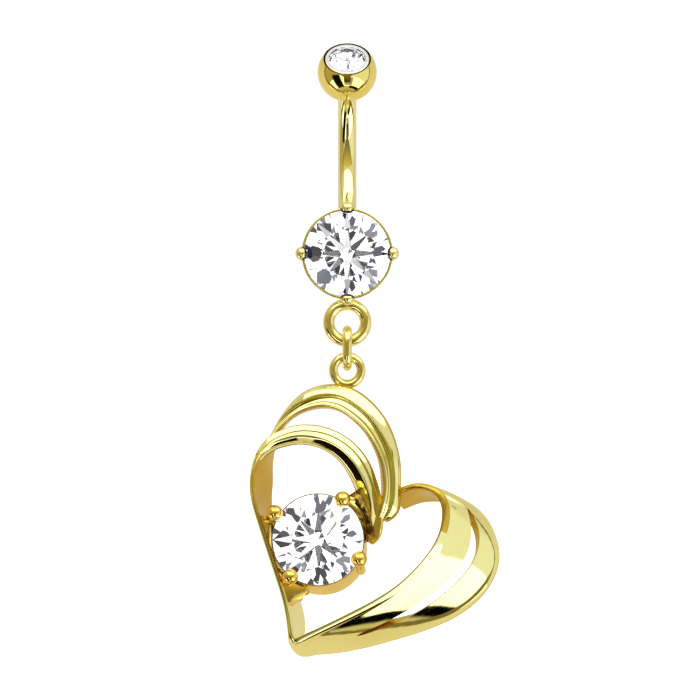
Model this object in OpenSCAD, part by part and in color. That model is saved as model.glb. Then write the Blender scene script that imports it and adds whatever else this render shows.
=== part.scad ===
// Navel ring: curved barbell with a gem ball, a round stone in a claw basket and a hanging openwork heart.
// Millimetres, +Z up, the front faces -Y. The origin is the middle of the curved bar, where the ring is worn.

/* [Barbell] */
// Diameter of the curved bar
bar_d = 1.6; // [1.2:0.1:2]
// Radius of the bar's bend, to its centre line
bend_r = 7.25; // [6.6:0.05:8.5]
// Angle from the bar's middle up to the shoulder under the ball
upper_turn = 45; // [38:1:52]
// Angle from the bar's middle down to its soldered end in the basket
lower_turn = 51; // [47:1:55]
// Diameter of the thread pin on the bar's top end
thread_d = 1.2; // [0.8:0.05:1.3]
// Length of the thread pin
thread_l = 1.7; // [1:0.1:1.8]
// Depth that the bar's lower end is let into the basket's back
bar_sunk = 0.29; // [0.2:0.01:0.4]

/* [Top ball] */
// Diameter of the ball
ball_d = 5.1; // [4.6:0.1:6]
// Depth of the flat where the ball meets the bar's shoulder
ball_flat = 0.13; // [0.08:0.01:0.3]
// Diameter of the small gem
gem_d = 3.2; // [2.4:0.1:3.4]
// Height of the gem's girdle above the ball's centre
gem_up = 1.42; // [1.3:0.02:1.6]
// Wall of the cup that holds the gem
cup_wall = 0.27; // [0.2:0.01:0.35]
// Open groove round the cup's lip
groove_w = 0.13; // [0.06:0.01:0.2]

/* [Navel stone and basket] */
// Diameter of the navel stone
navel_d = 7.4; // [6:0.1:9]
// Depth of the basket from its rim to its back
basket_deep = 2.6; // [2.2:0.1:3]
// Wall of the basket below its rim
basket_wall = 0.55; // [0.4:0.05:0.8]
// Distance that the basket narrows from its rim to its back
basket_flare = 0.62; // [0.4:0.02:0.8]
// Width of the rim that shows round the stone
rim_w = 0.18; // [0.14:0.01:0.3]
// Diameter of a claw's round head
claw_w = 1.2; // [0.8:0.1:1.6]
// Distance that a claw's head stands out beyond the rim
claw_out = 0.54; // [0.3:0.02:0.8]

/* [Eye ring and link] */
// Wire of the eye ring under the basket
eye_wire = 1; // [0.8:0.05:1.2]
// Inner diameter of the eye ring
eye_hole = 2.17; // [1.9:0.01:2.6]
// Distance that the eye ring lies behind the navel stone's girdle
eye_back = 1; // [0.8:0.05:1.2]
// Wire of the link
link_wire = 0.8; // [0.6:0.05:0.9]
// Inner width of the link
link_hole = 1.4; // [1.35:0.05:1.8]
// Distance between the middles of the link's two end bows
link_l = 3.115; // [2.8:0.005:4]
// Play between rings that hang in each other
play = 0.04; // [0.03:0.01:0.08]

/* [Heart] */
// Width of the heart
heart_w = 21.5; // [18:0.5:26]
// Height of the heart
heart_h = 23.5; // [20:0.5:28]
// Depth of the frame from front to back
heart_deep = 3.6; // [3:0.1:4.2]
// Distance that the frame's front stands before its hanging ring
heart_front = 1.35; // [1.1:0.05:1.6]
// Thickness of the frame's thin walls
frame_wall = 0.5; // [0.4:0.05:0.7]
// Widest flare of the outer band
band_flare = 3.6; // [3:0.1:4]
// Distance that the frame leans across from front to back
lean_across = 1.6; // [1.2:0.1:2]
// Distance that the frame leans down from front to back
lean_down = 1.65; // [1.2:0.05:2]
// Width of the inner loop
loop_w = 2; // [1.7:0.05:2.2]
// Widest part of the slot through the band
slot_w = 1.1; // [0.8:0.05:1.2]
// Wire of the hanging ring
ring_wire = 0.78; // [0.6:0.02:0.9]
// Inner diameter of the hanging ring
ring_hole = 1.6; // [1.55:0.05:2]

/* [Heart stone] */
// Diameter of the heart's stone
drop_d = 7.8; // [7:0.1:8.4]
// Diameter of a bead prong
bead_d = 1.4; // [1:0.1:1.7]
// Depth of the basket behind the stone
collet_deep = 2.3; // [1.8:0.1:2.8]
// Wall of the basket behind the stone
collet_wall = 0.5; // [0.4:0.05:0.8]

/* [Clearances] */
// Gap between a stone and the metal round it
stone_gap = 0.04; // [0.02:0.01:0.08]
// Gap all round the thread pin, and at the shoulder
thread_gap = 0.03; // [0.02:0.01:0.06]

/* [Hidden] */
smooth = 64;

// Proportions of a round brilliant, as shares of its diameter
table_share = 0.58;
crown_share = 0.15;
girdle_share = 0.025;
pavilion_share = 0.42;
star_share = 0.76;
lower_share = 0.22;

// Places along the ball's axis, from the ball's centre
shoulder = -(ball_d / 2 - ball_flat);
gem_foot = gem_up - (pavilion_share + girdle_share / 2) * gem_d;
cup_floor = 0.75 * cup_wall;
cup_bottom = gem_foot - stone_gap - cup_floor;
cup_r = gem_d / 2 + stone_gap + cup_wall;
cup_top = gem_up + 0.48 * cup_wall;
pocket_r = cup_r + groove_w;

// Lower setting: its back's wall sits on the bar's lower end
bar_end = [bend_r * (1 - cos(lower_turn)), bend_r * sin(lower_turn)];
rim_r = navel_d / 2 + stone_gap + rim_w;
back_r = rim_r - basket_flare;
navel_front = bar_end[0] - bar_sunk + basket_deep;
navel_z = -bar_end[1] - back_r + basket_wall / 4;
claw_at = rim_r + claw_out - claw_w / 2;
claw_up = claw_w / 4;

// Rings that hang in each other
eye_r = (eye_hole + eye_wire) / 2;
eye_y = eye_back - navel_front;
eye_z = navel_z - rim_r - 0.42 * eye_wire - eye_r;
eye_low = eye_z - eye_r;
bow_r = (link_hole + link_wire) / 2;
link_top = eye_low + eye_wire / 2 + link_wire / 2 + play;
link_low = link_top - link_l;
ring_r = (ring_hole + ring_wire) / 2;
ring_z = link_low + link_wire / 2 + ring_wire / 2 + play - ring_r;

// Frame of the heart: its left side, its tip and its front plane
ring_across = 0.3925;
ring_up = 0.982;
heart_x = -ring_across * heart_w;
heart_z = ring_z - ring_r - ring_wire / 2 - ring_up * heart_h;
heart_y = eye_y - heart_front;

// Place of the heart's stone as shares of the heart's width and height, how far its basket's back lies across and
// down as shares of the basket's depth, and how far the beads stand above the girdle
drop_at = [0.276, 0.431];
collet_shift = [0.152 * collet_deep, -0.435 * collet_deep];
bead_up = bead_d / 4;

// Columns of the band's table: place of the lip as shares of the heart's width and height, wall, flare and
// depth as shares of the named sizes, groove from 0 for a puffed band to 1 for a grooved loop, and as shares of
// the heart's depth the inset of the back edge and the set-back of the front. The band starts behind the cleft,
// runs round the right lobe and along the bottom to the tip, up the left side and over the left lobe, and ends
// in front of its own start.
//   across   up    wall  flare  depth groove inset  set
BAND = [
    [0.545, 0.614, 1.10, 0.00, 0.70, 0.0, 0.00, 0.28],
    [0.615, 0.636, 1.10, 0.03, 0.80, 0.0, 0.00, 0.18],
    [0.680, 0.635, 1.10, 0.07, 0.95, 0.0, 0.00, 0.05],
    [0.732, 0.618, 1.15, 0.16, 1.00, 0.0, 0.00, 0.00],
    [0.764, 0.590, 1.20, 0.32, 1.00, 0.0, 0.00, 0.00],
    [0.779, 0.556, 1.20, 0.56, 1.00, 0.0, 0.00, 0.00],
    [0.781, 0.514, 1.15, 0.77, 1.00, 0.0, 0.00, 0.00],
    [0.771, 0.467, 1.05, 0.97, 1.00, 0.0, 0.00, 0.00],
    [0.747, 0.415, 0.95, 1.02, 1.00, 0.0, 0.00, 0.00],
    [0.706, 0.361, 0.90, 0.98, 1.00, 0.0, 0.00, 0.00],
    [0.648, 0.302, 0.90, 0.84, 1.00, 0.0, 0.00, 0.00],
    [0.573, 0.245, 0.90, 0.63, 1.00, 0.0, 0.00, 0.00],
    [0.484, 0.196, 0.90, 0.46, 1.00, 0.0, 0.00, 0.00],
    [0.384, 0.149, 0.90, 0.32, 1.00, 0.0, 0.00, 0.00],
    [0.284, 0.105, 0.90, 0.16, 0.98, 0.0, 0.00, 0.00],
    [0.215, 0.076, 0.95, 0.06, 0.84, 0.0, 0.00, 0.00],
    [0.182, 0.062, 1.00, 0.04, 0.72, 0.0, 0.00, 0.00],
    [0.165, 0.080, 1.00, 0.22, 0.72, 0.0, 0.00, 0.00],
    [0.156, 0.135, 1.00, 0.07, 0.92, 0.0, 0.00, 0.00],
    [0.136, 0.226, 0.95, 0.00, 1.00, 0.0, 0.00, 0.00],
    [0.091, 0.351, 0.95, 0.00, 1.00, 0.0, 0.00, 0.00],
    [0.037, 0.502, 0.90, 0.00, 1.00, 0.0, 0.00, 0.00],
    [0.011, 0.584, 0.90, 0.00, 1.00, 0.0, 0.00, 0.00],
    [0.006, 0.656, 0.90, 0.00, 1.00, 0.0, 0.00, 0.00],
    [0.019, 0.708, 0.85, 0.00, 0.97, 0.0, -0.03, 0.01],
    [0.043, 0.757, 0.80, 0.03, 0.88, 0.1, -0.14, 0.06],
    [0.078, 0.812, 0.75, 0.10, 0.78, 0.3, -0.19, 0.10],
    [0.117, 0.860, 0.65, 0.17, 0.68, 0.5, -0.25, 0.12],
    [0.161, 0.893, 0.60, 0.26, 0.60, 0.8, -0.26, 0.12],
    [0.213, 0.915, 0.60, 0.38, 0.56, 1.0, -0.24, 0.09],
    [0.276, 0.928, 0.60, 0.49, 0.55, 1.0, -0.16, 0.05],
    [0.341, 0.920, 0.60, 0.57, 0.55, 1.0, -0.08, 0.02],
    [0.400, 0.889, 0.60, 0.58, 0.55, 1.0, 0.00, 0.00],
    [0.457, 0.844, 0.60, 0.55, 0.55, 1.0, 0.09, 0.00],
    [0.505, 0.778, 0.60, 0.50, 0.55, 1.0, 0.20, 0.00],
    [0.535, 0.717, 0.60, 0.45, 0.55, 1.0, 0.32, 0.00],
    [0.547, 0.659, 0.60, 0.40, 0.55, 1.0, 0.38, 0.00],
    [0.547, 0.612, 0.60, 0.39, 0.55, 1.0, 0.36, 0.00],
    [0.540, 0.575, 0.60, 0.42, 0.52, 1.0, 0.32, 0.00],
    [0.529, 0.545, 0.60, 0.36, 0.44, 1.0, 0.30, 0.04],
    [0.515, 0.522, 0.60, 0.20, 0.32, 1.0, 0.20, 0.10]
];

// Columns of the inner loop's table: middle of its front, width as a share of the loop's width, depth, inset and
// set-back as shares of the heart's depth. It leaves the left side, curls over and ends on the stone's basket.
//   across   up    width depth inset  set
LOOP = [
    [0.010, 0.640, 0.22, 0.60, 0.00, 0.01],
    [0.014, 0.690, 0.24, 0.55, 0.00, 0.00],
    [0.030, 0.730, 0.31, 0.50, 0.02, -0.01],
    [0.056, 0.765, 0.46, 0.46, 0.04, -0.02],
    [0.090, 0.790, 0.58, 0.45, 0.05, -0.02],
    [0.125, 0.806, 0.68, 0.45, 0.06, -0.02],
    [0.184, 0.822, 0.80, 0.45, 0.06, -0.01],
    [0.240, 0.822, 0.88, 0.45, 0.06, 0.00],
    [0.300, 0.811, 0.94, 0.45, 0.07, 0.00],
    [0.364, 0.782, 1.00, 0.45, 0.09, 0.00],
    [0.418, 0.738, 1.05, 0.46, 0.12, 0.00],
    [0.457, 0.685, 1.04, 0.48, 0.16, 0.00],
    [0.481, 0.634, 0.97, 0.50, 0.20, 0.02],
    [0.498, 0.585, 0.92, 0.52, 0.20, 0.04],
    [0.503, 0.535, 0.96, 0.50, 0.20, 0.08],
    [0.497, 0.490, 1.02, 0.46, 0.16, 0.12],
    [0.490, 0.450, 0.80, 0.42, 0.10, 0.20],
    [0.474, 0.424, 0.38, 0.34, 0.05, 0.28]
];

// Columns of the slot's table: its middle line, and its width as a share of the slot's width
//   across   up    width
SLOT = [
    [0.868, 0.546, 0.20],
    [0.883, 0.518, 0.55],
    [0.897, 0.487, 0.88],
    [0.903, 0.447, 0.98],
    [0.897, 0.404, 1.00],
    [0.881, 0.366, 0.98],
    [0.856, 0.325, 0.92],
    [0.800, 0.269, 0.84],
    [0.733, 0.218, 0.82],
    [0.661, 0.174, 0.80],
    [0.592, 0.136, 0.70],
    [0.532, 0.110, 0.50],
    [0.472, 0.086, 0.40],
    [0.424, 0.069, 0.20]
];

// Columns of the beads' table: direction round the stone, and distance as a share of the stone's radius
BEADS = [[148, 1.12], [59, 1.04], [-25, 1.00], [-127, 1.01]];
// Columns of the struts' table: places of both ends as shares of the heart's width, height and depth, and
// thickness as a share of a bead. They tie the setting to the left side, to the inner loop and to the lower side.
//   across   up    deep   across  up    deep  thick
STRUTS = [
    [0.103, 0.529, 0.10, 0.085, 0.450, 0.45, 0.60],
    [0.374, 0.580, 0.12, 0.452, 0.568, 0.28, 0.60],
    [0.400, 0.560, 0.22, 0.488, 0.500, 0.30, 0.75],
    [0.167, 0.297, 0.15, 0.198, 0.215, 0.62, 0.55],
    [0.167, 0.270, 0.45, 0.225, 0.240, 0.62, 0.62],
    [0.440, 0.361, 0.08, 0.448, 0.316, 0.50, 0.60]
];

// Share of the lean that the inner loop follows
loop_lean = 0.3;
// Depth at which the slot meets the band's face, and how far the cut slants for each step back
face_deep = 0.42;
slot_slant = 1.2;

// Columns of the two band profiles: share of the half wall, share of the flare, share of the depth
PUFFED = [
    [-1.0, 0.00, 0.03], [-0.5, 0.00, 0.00], [0.5, 0.00, 0.00], [1.0, 0.01, 0.03], [1.0, 0.03, 0.10],
    [1.0, 0.35, 0.22], [1.0, 0.68, 0.42], [1.0, 0.90, 0.66], [1.0, 1.00, 0.95], [0.6, 1.00, 1.00],
    [-1.0, 0.97, 1.00], [-1.0, 0.75, 0.74], [-1.0, 0.42, 0.46], [-1.0, 0.06, 0.28]
];
GROOVED = [
    [-1.0, 0.00, 0.12], [-0.5, 0.00, 0.07], [0.5, 0.00, 0.07], [1.0, 0.01, 0.11], [1.0, 0.08, 0.19],
    [1.0, 0.46, 0.16], [1.0, 0.54, 0.03], [1.0, 0.78, 0.00], [1.0, 1.00, 0.25], [1.0, 0.98, 0.72],
    [1.0, 0.65, 1.00], [-1.0, 0.15, 1.00], [-1.0, 0.00, 0.65], [-1.0, 0.00, 0.35]
];
// Columns of the inner loop's profile: share of the width, share of the depth
RIDGED = [
    [-0.50, 0.14], [-0.38, 0.04], [-0.10, 0.00], [0.22, 0.10], [0.42, 0.24],
    [0.50, 0.42], [0.44, 0.78], [0.22, 1.00], [-0.30, 1.00], [-0.50, 0.62]
];

// Arithmetic on whole rows
function mix(a, b, t) = a * (1 - t) + b * t;
function unit(v) = v / norm(v);
function bend(a, b, c, d, t) =
    0.5 * (2 * b + (c - a) * t + (2 * a - 5 * b + 4 * c - d) * t * t + (3 * b - a - 3 * c + d) * t * t * t);
// Rows of a table with more rows put in between along a smooth curve
function finer(t, steps) = let (n = len(t) - 1)
    concat([for (i = [0 : n - 1], k = [0 : steps - 1])
        bend(t[max(i - 1, 0)], t[i], t[i + 1], t[min(i + 2, n)], k / steps)], [t[n]]);
// Place of a row in the heart's front plane, and the direction that points out of the curve there
function spot(row) = [heart_x + row[0] * heart_w, heart_z + row[1] * heart_h];
function outward(t, i) = let (d = unit(spot(t[min(i + 1, len(t) - 1)]) - spot(t[max(i - 1, 0)]))) [-d[1], d[0]];
// A point of the casting: n along the outward direction, y behind the heart's front plane, with a share of the lean
function cast(row, out, n, y, share = 1) = let (p = spot(row) + n * out, k = share * y / heart_deep)
    [p[0] + lean_across * k, heart_y + y, p[1] - lean_down * k];

function band_ring(row, out) = [for (i = [0 : len(PUFFED) - 1]) let (p = mix(PUFFED[i], GROOVED[i], row[5]))
    cast(row, out, p[0] * row[2] * frame_wall / 2 + p[1] * row[3] * band_flare - p[2] * row[6] * heart_deep,
        (row[7] + p[2] * row[4]) * heart_deep)];
function loop_ring(row, out) = [for (p = RIDGED)
    cast(row, out, p[0] * row[2] * loop_w - p[1] * row[4] * heart_deep,
        (row[5] + p[1] * row[3]) * heart_deep, loop_lean)];
// The slot is cut square to the band's face, so its back lies nearer to the lip than its front
function slot_ring(row, out) = [for (p = [[-0.5, -0.2], [0.5, -0.2], [0.5, 1.2], [-0.5, 1.2]])
    cast(row, out, p[0] * row[2] * slot_w - slot_slant * (p[1] - face_deep) * heart_deep,
        (p[1] - face_deep) * heart_deep) + [0, face_deep * heart_deep, 0]];

// Skin over a list of rings that each have the same number of points
module sweep(rings) {
    m = len(rings[0]);
    last = len(rings) - 1;
    sides = [for (i = [0 : last - 1], j = [0 : m - 1]) let (a = i * m, b = a + m, k = (j + 1) % m)
        each [[a + j, a + k, b + k], [a + j, b + k, b + j]]];
    caps = [[for (j = [m - 1 : -1 : 0]) j], [for (j = [0 : m - 1]) last * m + j]];
    polyhedron(points = [for (r = rings) each r], faces = concat(sides, caps));
}

// Puts what is drawn facing +Z so that it faces the front
module facing_front(x, y, z) {
    translate([x, y, z]) rotate([90, 0, 0]) children();
}

// Puts what is drawn along +Z on the axis of the bar's top end, from the ball's centre
module on_ball_axis() {
    end = [-bend_r * (1 - cos(upper_turn)), bend_r * sin(upper_turn)];
    reach = thread_gap - shoulder;
    translate([0, end[0] - reach * sin(upper_turn), end[1] + reach * cos(upper_turn)])
        rotate([upper_turn, 0, 0]) children();
}

// Round brilliant with its girdle at z = 0 and its table up
module brilliant(d) {
    r = d / 2;
    up = girdle_share * d / 2;
    top = up + crown_share * d;
    foot = -up - pavilion_share * d;
    table_r = table_share * r;
    star_r = star_share * r;
    low_r = lower_share * r;
    half = 22.5;
    main_slope = (top - up) / (r - table_r);
    star_z = up + main_slope * (r - star_r * cos(half));
    low_z = foot + (-up - foot) * low_r * cos(half) / r;
    ring = [for (i = [0 : 31]) i * 360 / 32];
    // Height on the plane through a tip and two girdle corners a half step apart
    crown_drop = (star_z - up) / (r * cos(half / 2) - star_r * cos(half / 2)) * r * (1 - cos(half / 2));
    pavilion_rise = (-up - low_z) / (r * cos(half / 2) - low_r * cos(half / 2)) * r * (1 - cos(half / 2));
    pts = concat(
        [for (k = [0 : 7]) [table_r * cos(45 * k), table_r * sin(45 * k), top]],
        [for (k = [0 : 7]) [star_r * cos(45 * k + half), star_r * sin(45 * k + half), star_z]],
        [for (i = [0 : 31]) [r * cos(ring[i]), r * sin(ring[i]), up - (i % 2) * crown_drop]],
        [for (i = [0 : 31]) [r * cos(ring[i]), r * sin(ring[i]), -up + (i % 2) * pavilion_rise]],
        [for (k = [0 : 7]) [low_r * cos(45 * k + half), low_r * sin(45 * k + half), low_z]],
        [[0, 0, foot]]);
    faces = concat(
        [[for (k = [7 : -1 : 0]) k]],
        [for (k = [0 : 7]) [k, (k + 1) % 8, 8 + k]],
        [for (k = [0 : 7]) [k, 8 + k, 16 + 4 * k, 8 + (k + 7) % 8]],
        [for (k = [0 : 7]) [8 + k, 18 + 4 * k, 17 + 4 * k, 16 + 4 * k]],
        [for (k = [0 : 7]) [8 + k, 16 + (4 * k + 4) % 32, 19 + 4 * k, 18 + 4 * k]],
        [for (i = [0 : 31]) [16 + i, 16 + (i + 1) % 32, 48 + (i + 1) % 32, 48 + i]],
        [for (k = [0 : 7]) [80 + k, 48 + 4 * k, 49 + 4 * k, 50 + 4 * k]],
        [for (k = [0 : 7]) [80 + k, 50 + 4 * k, 51 + 4 * k, 48 + (4 * k + 4) % 32]],
        [for (k = [0 : 7]) [88, 80 + (k + 7) % 8, 48 + 4 * k, 80 + k]]);
    polyhedron(points = pts, faces = faces);
}

module barbell() {
    color("gold") union() {
        // Curved bar, in the plane that halves the object, with the thread pin on its top end
        translate([0, -bend_r, 0]) rotate([90, 0, 90]) rotate([0, 0, -lower_turn])
            rotate_extrude(angle = upper_turn + lower_turn, $fn = 96)
                translate([bend_r, 0]) circle(d = bar_d, $fn = 32);
        on_ball_axis() translate([0, 0, shoulder - thread_gap - thread_d / 4])
            cylinder(d = thread_d, h = thread_l + thread_d / 4, $fn = smooth);
        facing_front(0, -navel_front, navel_z) basket();
        facing_front(0, eye_y, eye_z) rotate_extrude($fn = smooth)
            translate([eye_r, 0]) circle(d = eye_wire, $fn = 32);
    }
}

// Basket of the navel stone, with the girdle at z = 0: a flared wall with a thin rim, and four round-headed claws
// that lean out along the wall and are cut to the stone's seat
module basket() {
    girdle = girdle_share * navel_d / 2;
    back = -basket_deep;
    step = -0.2 * basket_deep;
    root = [back_r + claw_w / 10, back + claw_w / 6];
    head = [claw_at, claw_up];
    seat_r = navel_d / 2 + stone_gap + 0.02;
    rotate_extrude($fn = smooth) polygon([
        [rim_r, 0], [rim_r, step], [back_r, back], [back_r - basket_wall, back],
        [rim_r - basket_wall, step], [rim_r - rim_w, -girdle - 0.1], [rim_r - rim_w, 0]]);
    difference() {
        for (turn = [0 : 90 : 270]) rotate([0, 0, turn]) {
            translate([head[0], 0, head[1]]) sphere(d = claw_w, $fn = 32);
            translate([root[0], 0, root[1]]) rotate([0, atan((head[0] - root[0]) / (head[1] - root[1])), 0])
                cylinder(d = 0.55 * claw_w, h = norm(head - root), $fn = 32);
        }
        rotate_extrude($fn = smooth) polygon([
            [0, -pavilion_share * navel_d - girdle - stone_gap], [seat_r, -girdle], [seat_r, girdle + 0.02],
            [table_share * seat_r, girdle + crown_share * navel_d + stone_gap],
            [0, girdle + crown_share * navel_d + stone_gap]]);
    }
}

module top_ball() {
    color("gold") on_ball_axis() difference() {
        sphere(d = ball_d, $fn = smooth);
        translate([0, 0, shoulder - ball_d]) cylinder(d = ball_d, h = ball_d, $fn = smooth);
        translate([0, 0, shoulder - 1])
            cylinder(d = thread_d + 2 * thread_gap, h = thread_l + 1 + thread_gap, $fn = smooth);
        translate([0, 0, cup_bottom - stone_gap]) cylinder(r = pocket_r, h = ball_d, $fn = smooth);
    }
}

module ball_cup() {
    color("silver") on_ball_axis() rotate_extrude($fn = smooth) polygon([
        [0, cup_bottom], [cup_r - cup_wall, cup_bottom], [cup_r, cup_bottom + 1.1 * cup_wall],
        [cup_r, cup_top - 0.22 * cup_wall], [cup_r - 0.3 * cup_wall, cup_top],
        [cup_r - 1.22 * cup_wall, cup_top], [cup_r - cup_wall, gem_up + 0.22 * cup_wall],
        [cup_r - cup_wall, gem_up - 0.37 * cup_wall], [0.9 * cup_wall, cup_bottom + 0.9 * cup_floor],
        [0, cup_bottom + 0.9 * cup_floor]]);
}

module top_stone() {
    color("white") on_ball_axis() translate([0, 0, gem_up]) brilliant(gem_d);
}

module navel_stone() {
    color("white") facing_front(0, -navel_front, navel_z) brilliant(navel_d);
}

// Closed oval of wire that stands edge-on, with its bows round the wires of both rings
module link() {
    straight = link_l - 2 * bow_r;
    color("gold") translate([0, eye_y, link_top - bow_r]) rotate([90, 0, 90]) union() {
        rotate_extrude(angle = 180, $fn = smooth) translate([bow_r, 0]) circle(d = link_wire, $fn = 32);
        translate([0, -straight]) rotate([0, 0, 180])
            rotate_extrude(angle = 180, $fn = smooth) translate([bow_r, 0]) circle(d = link_wire, $fn = 32);
        for (side = [-1, 1]) translate([side * bow_r, 0, 0]) rotate([90, 0, 0])
            cylinder(d = link_wire, h = straight, $fn = 32);
    }
}

module heart() {
    band = finer(BAND, 3);
    loop = finer(LOOP, 3);
    slot = finer(SLOT, 2);
    color("gold") union() {
        difference() {
            sweep([for (i = [0 : len(band) - 1]) band_ring(band[i], outward(band, i))]);
            sweep([for (i = [0 : len(slot) - 1]) slot_ring(slot[i], outward(slot, i))]);
        }
        sweep([for (i = [0 : len(loop) - 1]) loop_ring(loop[i], outward(loop, i))]);
        facing_front(0, eye_y, ring_z) rotate_extrude($fn = 36)
            translate([ring_r, 0]) circle(d = ring_wire, $fn = 12);
        heart_basket();
    }
}

// Setting of the heart's stone, with the girdle at z = 0: a slanting wall, and beads and struts cut to its seat
module heart_basket() {
    at = spot(drop_at);
    r = drop_d / 2;
    lip = -0.13 * collet_deep;
    top_r = r + 0.1 * collet_wall;
    facing_front(at[0], heart_y, at[1]) difference() {
        union() {
            difference() {
                slant(top_r, lip, r + 0.04 * collet_wall, -collet_deep);
                slant(top_r - 0.6 * collet_wall, lip + 0.01, r - collet_wall, -collet_deep - 0.01);
            }
            for (bead = BEADS) hull() {
                rotate(bead[0]) translate([bead[1] * r, 0, bead_up]) sphere(d = bead_d, $fn = 20);
                rotate(bead[0]) translate([r - 0.2 * collet_wall, 0, -0.565 * collet_deep])
                    sphere(d = bead_d * 0.6, $fn = 12);
            }
            for (s = STRUTS) hull() for (end = [[s[0], s[1], s[2]], [s[3], s[4], s[5]]]) {
                p = spot(end) - at;
                translate([p[0], p[1], -end[2] * heart_deep]) sphere(d = s[6] * bead_d, $fn = 12);
            }
        }
        brilliant(drop_d + 2 * stone_gap);
    }
}

// Solid disc that slants down and across from its front to its back
module slant(front_r, front_z, back_r, back_z) {
    hull() {
        translate([0, 0, front_z - 0.01]) cylinder(r = front_r, h = 0.01, $fn = 40);
        translate([collet_shift[0], collet_shift[1], back_z]) cylinder(r = back_r, h = 0.01, $fn = 40);
    }
}

module heart_stone() {
    at = spot(drop_at);
    color("white") facing_front(at[0], heart_y, at[1]) brilliant(drop_d);
}

barbell();
top_ball();
ball_cup();
top_stone();
navel_stone();
link();
heart();
heart_stone();
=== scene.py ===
"""Looks of a navel ring: a gem ball on a curved bar, a round stone in a claw basket, and a hanging openwork heart.

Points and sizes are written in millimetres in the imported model's frame: +Z up, the front faces -Y, the origin in the
middle of the curved bar. They become metres when a mesh is made.
"""
import math

import bmesh
import bpy
import numpy as np
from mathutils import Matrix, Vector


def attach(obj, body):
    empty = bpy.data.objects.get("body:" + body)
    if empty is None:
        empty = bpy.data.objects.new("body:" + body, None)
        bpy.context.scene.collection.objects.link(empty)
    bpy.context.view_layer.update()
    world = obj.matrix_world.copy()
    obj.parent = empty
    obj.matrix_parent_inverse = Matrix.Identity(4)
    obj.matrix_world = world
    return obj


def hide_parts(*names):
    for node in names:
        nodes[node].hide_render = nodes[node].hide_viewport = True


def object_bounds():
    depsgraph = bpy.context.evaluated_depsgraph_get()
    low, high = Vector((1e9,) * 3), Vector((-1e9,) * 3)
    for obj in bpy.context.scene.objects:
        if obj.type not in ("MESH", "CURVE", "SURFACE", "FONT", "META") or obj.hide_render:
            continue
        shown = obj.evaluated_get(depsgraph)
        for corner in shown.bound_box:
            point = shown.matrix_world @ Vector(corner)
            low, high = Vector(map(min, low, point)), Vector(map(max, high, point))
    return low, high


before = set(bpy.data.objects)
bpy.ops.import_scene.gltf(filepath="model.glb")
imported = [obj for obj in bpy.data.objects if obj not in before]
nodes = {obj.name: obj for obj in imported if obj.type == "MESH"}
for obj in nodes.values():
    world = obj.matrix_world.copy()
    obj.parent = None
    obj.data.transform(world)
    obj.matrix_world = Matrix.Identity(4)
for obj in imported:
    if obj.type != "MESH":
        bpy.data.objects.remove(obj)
CAD_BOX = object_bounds()

# ------------------------------
# Camera. A long lens straight in front, level with the top of the heart, as in the photograph. It stands so far off
# that near and far pieces keep their size.
# Middle of the view across and up, the width that it takes in, and the depth at which it does
VIEW_X, VIEW_Z = 0.24, -17.08
VIEW_WIDE = 60.3
FACE_Y = -4.0
LENS, SENSOR = 250.0, 36.0

camera_data = bpy.data.cameras.new("long_lens")
camera_data.lens = LENS
camera_data.sensor_width = SENSOR
camera_data.clip_start = 0.01
camera = bpy.data.objects.new("camera", camera_data)
camera.location = (VIEW_X / 1000, (FACE_Y - VIEW_WIDE * LENS / SENSOR) / 1000, VIEW_Z / 1000)
camera.rotation_euler = (math.radians(90), 0, 0)
bpy.context.collection.objects.link(camera)
bpy.context.scene.camera = camera
bpy.context.scene.view_settings.view_transform = "Standard"

# ------------------------------
# Studio. A pale sheet of paper under the ring, and the light tent round it, which is the world: a bright roof, pale
# walls, a white floor that is grey in front and ends in a black slit on the right, a dark warm opening in front that
# narrows downwards, black cloth to its lower left, dark poles at both sides, and a warm back.
# Stops: height in degrees above the horizon, and red, green and blue there
FLOOR_LIGHT = [(-90, .34, .26, .11), (-80, .40, .32, .15), (-69, .60, .53, .32), (-60, .66, .62, .50),
               (-54.5, 2.0, 2.0, 1.8), (-30, 2.3, 2.3, 2.3)]
RIGHT_WALL = [(-30, .90, .90, .90), (4, .90, .90, .88), (12, .76, .74, .66), (40, .78, .75, .66), (60, .95, .95, .95),
              (90, .92, .92, .92)]
LEFT_WALL = [(-20, .46, .37, .17), (12, .50, .40, .18), (25, .58, .48, .26), (29, .75, .66, .44), (46, .68, .60, .40),
             (60, .70, .63, .50), (90, .92, .92, .92)]
BACK_WALL = [(-90, .70, .62, .44), (-60, .80, .70, .52), (-10, .82, .73, .58), (10, .76, .69, .60), (30, .68, .62, .48),
             (90, .92, .92, .92)]
OPENING = [(-45, .04, .02, .00), (-30, .15, .11, .01), (-20, .19, .15, .02), (-10, .26, .22, .08), (0, .36, .30, .12),
           (10, .52, .40, .12), (20, .66, .56, .13), (26, .70, .60, .20)]
# Zones, in degrees of height and of turn to the right of the front: where each starts, is whole, starts to end and is
# gone, or its one edge. The roof's sides are shares of the direction instead. Colours are a quarter of the brightness.
ROOF_HEIGHT, ROOF_SIDES, ROOF = (26, 29, 52, 76), (-.62, -.56, .83, .88), (.5, .5, .5, 1)
LEFT_TURN = (-50, -30)
FLOOR_EDGE, FLOOR_FALL = (-14.6, -13.8), 0.2
SLIT_HEIGHT, SLIT_TURN, SLIT = (-68, -64.5, -57, -54.5), (10, 15), (0, 0, 0, 1)
GREY_HEIGHT, GREY_TURN, GREY = (-56, -52, -26, -16), (-18, -14, 25, 29), (.10, .10, .13, 1)
CLOTH_HEIGHT, CLOTH_TURN, CLOTH = (-63, -60, -14, -7), (-66, -61), (.002, .001, 0, 1)
CLOTH_SLANT, CLOTH_EDGE = 0.3, (-38, -34)
BACK_TURN = (100, 104)
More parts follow.
